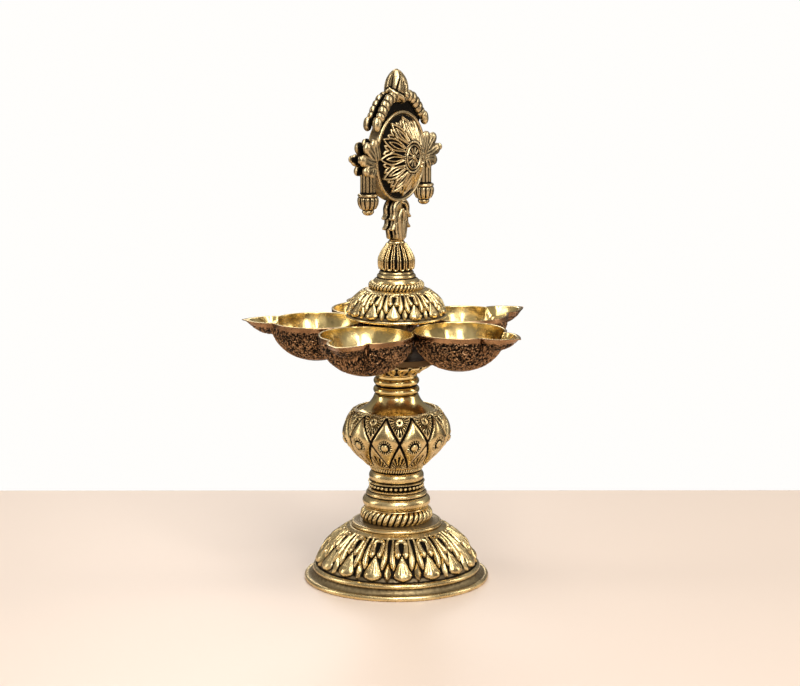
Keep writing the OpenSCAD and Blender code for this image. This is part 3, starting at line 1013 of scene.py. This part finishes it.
def wheel_relief(along, radius, level, phi):
    """Relief of the wheel's face: petals, a notched ring and a small flower on the boss."""
    offset = cell_offset(phi, PETAL_COUNT, 0)
    between = cell_offset(phi, PETAL_COUNT, 180.0 / PETAL_COUNT)
    x, y = np.abs(radius * np.sin(offset)), radius * np.cos(offset)
    petal = np.maximum(line_relief(x, y, LONG_PETAL, 0.56) * 1.4, line_relief(x, y, INNER_PETAL, 0.44) * 1.2)
    clear = x - np.interp(y, [9, *(v for _, v in LONG_PETAL)], [0.7, *(u for u, _ in LONG_PETAL)])
    x, y = np.abs(radius * np.sin(between)), radius * np.cos(between)
    zigzag = np.maximum(line_relief(x, y, ZIGZAG, 0.6), line_relief(x, y, ZIGZAG_INNER, 0.5))
    height = np.maximum(petal, np.where(clear > 0.5, zigzag, 0))
    outside_boss = radius > 9.9
    flower = np.abs(cell_offset(phi, 10, 0)) * radius
    small = ridge(flower, 0.24 * radius) * (radius > 2.1) * (radius < 5.6)
    knob = ridge(radius + 0 * phi, 1.7)
    rings = ridge(radius - 6.9, 0.5) + ridge(radius - 8.9 + 0 * phi, 0.75)
    notched = rings * np.where(radius > 8, 0.75 + 0.25 * np.cos(48 * phi), 1.0)
    boss = np.maximum.reduce([small * 0.8, knob * 1.3, notched * 0.9])
    height = np.where(outside_boss, height, boss)
    deep = 1 - blend(height, 0.2, 0.8)
    return height - 0.25, deep


def make_lotus(node, side):
    """The domed flower on one face of the wheel."""
    floor = [(0, 0), (23.8, 0), (24.1, 0.5)]
    dome = [*rounded([
        (24.1, 0.6), (22.6, 1), (20, 2.6), (15, 5.7), (11, 7.9), (9.8, 8.8), (8.6, 8.9), (4, 9), (1, 9.3),
    ]), (0, 9.35)]
    strokes = [(floor, 12), (dome, 0.36, wheel_relief)]
    part = moved(turned(strokes, 38 * PETAL_COUNT), lambda x, y, z: (x, y, z + HALF_DRUM))
    return piece(node, [moved(part, facing(side))], AGED)


def make_drum():
    """The wheel's drum, with a bright raised rim on each side."""
    rim = arc((DISC_R - 1.05, HALF_DRUM - 0.1), 1.05, -20, 170, 12)
    inner = [(DISC_R - 2.4, HALF_DRUM - 0.2), (DISC_R - 3, HALF_DRUM)]
    half = rim + inner + [(0, HALF_DRUM)]
    side = [(DISC_R - 0.35, -HALF_DRUM + 1.2), (DISC_R - 0.35, HALF_DRUM - 1.2)]
    mirrored = [(r, -z) for r, z in reversed(half)]
    strokes = [(mirrored, 0.5), (side, 0.5, None, 1.0), (half, 0.5)]
    return piece("wheel_drum", [moved(turned(strokes, 256), facing(1))], AGED)


SECTION = 28


def swept(path, widths, near, far, flutes=0, rolls=0):
    """A round-ended limb along a path drawn across and up, with flutes along it or rolls across it."""
    line = spaced(rounded(path), 0.4)
    along = lengths(line)
    slope = np.gradient(line, axis=0)
    side = np.stack([-slope[:, 1], slope[:, 0]], -1)
    side /= np.maximum(np.linalg.norm(side, axis=1, keepdims=True), 1e-6)
    total, start, end = along[-1], widths[0], widths[-1]
    share = along / total
    width = np.interp(share, np.linspace(0, 1, len(widths)), widths)
    caps = ridge(np.clip(start - along, 0, None), start) * ridge(np.clip(along - total + end, 0, None), end)
    pinch = np.abs(np.sin(pi * rolls * share)) if rolls else np.ones_like(share)
    swell = (caps * (0.66 + 0.34 * np.sqrt(pinch)))[:, None]
    angle = np.arange(SECTION)[None, :] * 2 * pi / SECTION
    across, out = np.cos(angle), np.sin(angle)
    middle, depth = (near + far) / 2, (far - near) / 2
    fluted = (flutes > 0) * (1 - blend(share, 0.6, 0.9))[:, None]
    groove = (0.5 + 0.5 * np.cos(pi * flutes * (across + 1))) * fluted
    reach_across = width[:, None] * swell * across
    x = line[:, :1] + side[:, :1] * reach_across
    y = line[:, 1:] + side[:, 1:] * reach_across
    z = middle + depth * out * (1 - 0.3 * groove * np.clip(out, 0, 1)) * swell ** 0.7
    grid = np.stack([x, y, z], -1)
    grid[0], grid[-1] = (*line[0], middle), (*line[-1], middle)
    hidden = 1 - blend(out, -0.8, -0.4)
    edge = 0.9 * np.maximum(0.6 * ridge(out - 0.05, 0.35), hidden)
    deep = np.maximum(edge, groove * 0.9 * (out > 0.1))
    deep = np.maximum(deep, 0.9 * (1 - blend(pinch, 0.12, 0.5))[:, None])
    return shell(grid, deep)


LEAF_LAYER = (1.0, 5.0)
SCROLL_LAYER = (0.3, 4.5)

# One side of the ornament: the leaf's lobes, then the rolled arch with its end curl; and the
# scrolls on the stalk. Each limb has a path, its half widths, two shifts, flutes and rolls.
LEAVES = [
    ([(24.8, -1.0), (26.4, 4.8), (27.4, 9.0), (27.8, 12.4)], [3.4, 3.8, 4.1, 4.0], 0, 0, 3),
    ([(27.0, 0.5), (31.4, 4.4), (34.8, 7.8), (36.6, 10.4)], [3.2, 3.5, 3.8, 3.8], 0, 0, 3),
    ([(26.4, -2.0), (32, -1.2), (37, 0.4), (42.0, 1.6)], [3.2, 3.4, 3.4, 3.6], 0, 0, 3),
    ([(41.0, 1.6), (43.6, 1.9)], [3.6, 3.8], -0.6, 0.7),
    ([(26.4, -4.4), (31.6, -4.8), (35.6, -5.8), (37.4, -8.0)], [3.0, 3.3, 3.6, 3.6], 0, 0, 3),
    ([(27.6, -4.0), (29.6, -7.0), (30.4, -10.2)], [3.0, 3.4, 3.4], 0, 0.2, 3),
    (
        [(2.4, 35.2), (10.6, 34.2), (15.8, 30.4), (20.4, 25.4), (22.6, 22)], [3, 3.6, 3.8, 3.4],
        -0.5, 0.4, 0, 6,
    ),
    ([(22.4, 23.0), (24.8, 21.6), (25.2, 19.0), (23.6, 17.8)], [2.8, 3.2, 3.2, 2.8], -0.3, 0.5),
]
SCROLLS = [
    (
        [(0.8, -26.9), (4.4, -27.4), (6.8, -30.2), (7.1, -34.2), (9.6, -36.8)], [1.6, 2.1, 2, 1.6, 0.9],
        0, 0, 2,
    ),
    ([(5.4, -32.0), (5.9, -36.6), (6.6, -40.2), (9.4, -42.8)], [1.5, 1.9, 1.6, 0.9], 0, -0.3, 2),
    ([(5.0, -38.0), (4.6, -43), (3.4, -49.0)], [1.7, 1.9, 1.4], 0, -0.1, 2),
    ([(0.3, -30.5), (2.4, -35.5), (1.9, -41.5), (1.2, -49.6)], [0.9, 1.5, 1.6, 1.1], 1.6, 0.5),
]


def limbs_of(shapes, near, far):
    """Limbs in a layer between two depths, each with its own shift of the near and the far one."""
    return [swept(path, widths, near + low, far + high, *rest) for path, widths, low, high, *rest in shapes]


def web():
    """The dark ground plate behind the arch."""
    across = np.linspace(-20, 20, 60)
    bottom = np.sqrt((DISC_R - 0.6) ** 2 - across ** 2)
    top = np.maximum(np.minimum(33.5, 41.0 - np.abs(across) * 0.95), bottom)
    grid = []
    for edge, depth in ((bottom, 0.1), (top, 0.1), (top, 1.3), (bottom, 1.3)):
        grid.append(np.stack([across, edge, np.full_like(across, LEAF_LAYER[0] + depth)], -1))
    ring = np.array(grid).transpose(1, 0, 2)
    centres = ring.mean(axis=1, keepdims=True)
    ends = [np.repeat(centres[i], 4, axis=0)[None] for i in (0, -1)]
    return shell(np.vstack([ends[0], ring, ends[1]]), 1.0)


def make_casting(node, side):
    """One of the two ornament castings round the wheel."""
    limbs = limbs_of(LEAVES, *LEAF_LAYER) + limbs_of(SCROLLS, *SCROLL_LAYER)
    mirrored = [moved(limb, lambda x, y, z: (-x, y, z)) for limb in limbs]
    shells = [moved(limb, facing(side)) for limb in [*limbs, *mirrored, web()]]
    return piece(node, shells, AGED, sharp=65)


PENDANT_U = (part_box("pendant_right")[0].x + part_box("pendant_right")[1].x) / 2 / MM
PENDANT_TOP = levels("pendant_right")[1] - DISC_Z + 3.0
PENDANT_RIBS = 12


def pendant_relief(along, radius, level, phi):
    """Ribs on a pendant's stalk and its bell."""
    drop = level - DISC_Z
    stalk = (drop > -18.9) & (drop < PENDANT_TOP - 0.3)
    bell = (drop < -21.2) & (drop > -28.0)
    wave = np.abs(cell_offset(phi, PENDANT_RIBS, 0)) * PENDANT_RIBS / pi
    height = ridge(wave, 0.85) - 0.55
    deep = blend(wave, 0.5, 0.85)
    on = np.where(stalk | bell, 1.0, 0.0)
    return height * np.where(bell, 0.75, 0.55) * on, deep * on


def make_pendant(node, side):
    """A ribbed tassel beside the wheel."""
    u = side * PENDANT_U
    outline = [
        (0, -31.7), (1.4, -31.7), (2.6, -31.1), (3.4, -30.1), (3.5, -29.4), (3.2, -28.8), (4.6, -27.4),
        (5.6, -25.4), (5.95, -23.4), (5.8, -21.8), (5.3, -21.1), (5.6, -20.8), (6.05, -20.4),
        (6.05, -19.7), (5.6, -19.2), (4.6, -19.0), (4.3, -18.4), (4.3, PENDANT_TOP - 0.1), (0, PENDANT_TOP),
    ]
    part = turned([(up(outline, DISC_Z), 0.5, pendant_relief)], 12 * PENDANT_RIBS)
    return piece(node, [moved(part, lambda x, y, z: (x + u, y, z))], AGED)


def crest_relief(along, radius, level, phi):
    """The flame bud's narrow front leaf, its wide side leaves, a knob and a band round its base."""
    rise = (level - DISC_Z - 31) / 19.7
    across = np.abs(cell_offset(phi, 2, 90)) + 0 * rise
    fold = rise - 0.08 - 0.2 * across
    band = ridge(fold, 0.09)
    above = blend(fold, 0.05, 0.11)
    knob = ridge(np.hypot(across * 6.8, (rise - 0.26) * 19.7), 1.6)
    rib = ridge(across, 0.2) * (1 - blend(rise, 0.55, 0.62))
    outline = ridge(across - 0.26, 0.09) * (1 - blend(rise, 0.6, 0.68))
    side = ridge(across - 1.02 * (1 - rise ** 3), 0.1)
    back = ridge(across - 1.42, 0.1)
    cut = np.maximum.reduce([outline, side, back]) * above * (1 - blend(rise, 0.9, 1.0))
    seam = ridge(fold - 0.11, 0.04)
    height = np.maximum(1.1 * band, 1.2 * knob) + 0.35 * rib * above - 0.75 * cut
    return height, np.maximum(cut, seam) * (1 - knob)


def make_crest():
    """The flame bud over the arch, with a band of leaves at its base."""
    outline = rounded([
        (0.6, 31), (3.6, 31.3), (5.9, 33.4), (7, 36.6), (7.1, 40), (6.3, 43.8), (4.7, 47), (2.4, 49.6),
        (0.5, 50.7),
    ])
    outline = [(0, 31), *outline, (0, 50.7)]
    bud = turned([(up(outline, DISC_Z), 0.32, crest_relief)], 180)
    return piece("crest_bud", [bud], AGED)


def make_stalk():
    """The core of the finial's stalk with its rough joint to the bud."""
    low, high = levels("finial_stalk")
    radius = reach("finial_stalk")
    joint = [(0, low), *up([(0.4, 0), (0.5, 0.5), (-0.1, 0.9), (0.3, 1.5)], low, radius)]
    side = [(radius - 0.2, low + 2.2), (radius - 0.2, high - 0.6), (0, high)]
    strokes = [(joint, 0.4), (side, 1.0)]
    return lathe("finial_stalk", strokes, 96, THREADED)


def dress_node(node, material):
    """Gives a CAD node that stays a procedural material: worn thread brass, or the hub plate's painted
    shadow.
    """
    mesh = frame["nodes"][node].data
    mesh.materials.clear()
    mesh.materials.append(material)


# ---- Studio ----

MIDDLE = Vector((0, 0, 0.16))
WHITE = (1, 1, 1)
WARM = (1.0, 0.97, 0.93)

# Each light: azimuth, elevation and distance from the lamp's middle, size, power and colour
LIGHTS = {
    "key_left": (214, 44, 1.7, (0.22, 1.7), 13, WHITE),
    "key_right": (243, 44, 1.7, (0.22, 1.7), 13, WHITE),
    "front": (213, 16, 2.6, (1.8, 1.2), 4, WHITE),
    "top": (225, 86, 1.55, (1.0, 1.0), 9, WHITE),
    "side_left": (124, 19, 1.7, (0.35, 1.1), 6, WARM),
    "side_right": (308, 19, 1.7, (0.35, 1.1), 6, WARM),
    "back": (40, 28, 1.8, (0.6, 0.6), 5, WHITE),
}


def around(azimuth, elevation, distance):
    """A place seen from the lamp's middle at two angles in degrees and a distance."""
    a, e = radians(azimuth), radians(elevation)
    flat = distance * cos(e)
    return Vector((flat * cos(a), flat * sin(a), MIDDLE.z + distance * sin(e)))


def area_light(name, azimuth, elevation, distance, size, power, colour):
    """A soft rectangular light that faces the lamp's middle."""
    data = bpy.data.lights.new(name, "AREA")
    data.shape = "RECTANGLE"
    data.size, data.size_y = size
    data.energy = power
    data.color = colour
    lamp = linked(name, data)
    lamp.location = around(azimuth, elevation, distance)
    lamp.rotation_euler = (MIDDLE - lamp.location).to_track_quat("-Z", "Y").to_euler()


LENS = 111.6
CAMERA_PLACE = (-1.2090, -0.7877, 0.4177)
CAMERA_TILT = 79.22
CAMERA_TURN = -57.0


def make_camera():
    """A long lens, a little above the bowls and to the front left."""
    data = bpy.data.cameras.new("camera")
    data.lens = LENS
    data.sensor_width = 36.0
    camera = linked("camera", data)
    camera.location = CAMERA_PLACE
    camera.rotation_euler = (radians(CAMERA_TILT), 0, radians(CAMERA_TURN))
    bpy.context.scene.camera = camera


FLOOR_TURN = 33.1
FLOOR_FRONT = -2.0
FLOOR_BACK = 0.21
FLOOR_SIDE = 2.4
FLOOR_COLOUR = (0.74, 0.60, 0.49, 1)


def make_floor():
    """A plain pale table top, whose back edge lies square to the view."""
    turn = radians(FLOOR_TURN)
    c, s = cos(turn), sin(turn)
    left, right = -FLOOR_SIDE, FLOOR_SIDE
    corners = [(FLOOR_FRONT, left), (FLOOR_BACK, left), (FLOOR_BACK, right), (FLOOR_FRONT, right)]
    mesh = bpy.data.meshes.new("floor")
    mesh.from_pydata([(x * c - y * s, x * s + y * c, 0) for x, y in corners], [], [(0, 1, 2, 3)])
    floor = linked("floor", mesh)
    material = bpy.data.materials.new("floor_pale")
    material.use_nodes = True
    surface = material.node_tree.nodes["Principled BSDF"]
    surface.inputs["Base Color"].default_value = FLOOR_COLOUR
    surface.inputs["Roughness"].default_value = 0.45
    mesh.materials.append(material)


def make_world():
    """A white backdrop for the camera, and a dimmer room that is brighter above for the metal."""
    world = bpy.data.worlds.new("studio")
    bpy.context.scene.world = world
    world.use_nodes = True
    tree = world.node_tree
    background = tree.nodes["Background"]
    place = add_node(tree, "TexCoord").outputs["Generated"]
    height = add_node(tree, "SeparateXYZ", place).outputs["Z"]
    room = ramp(tree, height, -0.2, 0.9, 0.10, 0.42)
    seen = add_node(tree, "LightPath").outputs["Is Camera Ray"]
    strength = maths(tree, "MAXIMUM", room, seen)
    tree.links.new(strength, background.inputs["Strength"])
    background.inputs["Color"].default_value = (1.0, 0.99, 0.97, 1)


def make_studio():
    """Camera, floor, backdrop and soft lights."""
    bpy.context.scene.view_settings.view_transform = "Standard"
    make_camera()
    make_floor()
    make_world()
    for name, settings in LIGHTS.items():
        area_light(name, *settings)


# ---- The whole lamp ----

make_studio()
for make in (make_foot, make_collar, make_rope_ring, make_stem_base, make_bulb, make_neck):
    make()
threaded_rod("stem_stud", STUD_R, 1.5)
threaded_rod("tie_rod", ROD_R, 1.5)
threaded_rod("finial_stud", FINIAL_STUD_R, 1.0)
make_rosette()
for bowl_number in range(1, BOWL_COUNT + 1):
    make_bowl(bowl_number)
for make in (make_cap_tube, make_cap_dome, make_cap_rope, make_bud, make_stalk, make_drum):
    make()
for end, side in FACES:
    make_lotus("lotus_" + end, side)
for end, side in FACES:
    make_casting("finial_" + end, side)
for end, side in (("left", -1), ("right", 1)):
    make_pendant("pendant_" + end, side)
make_crest()
dress_node("foot_nut", THREADED)
# Painted shadow on the hub plate: its colour is darkened to stand in for the shade between the bowls.
dress_node("hub_plate", PAINTED_SHADOW_PLATE)
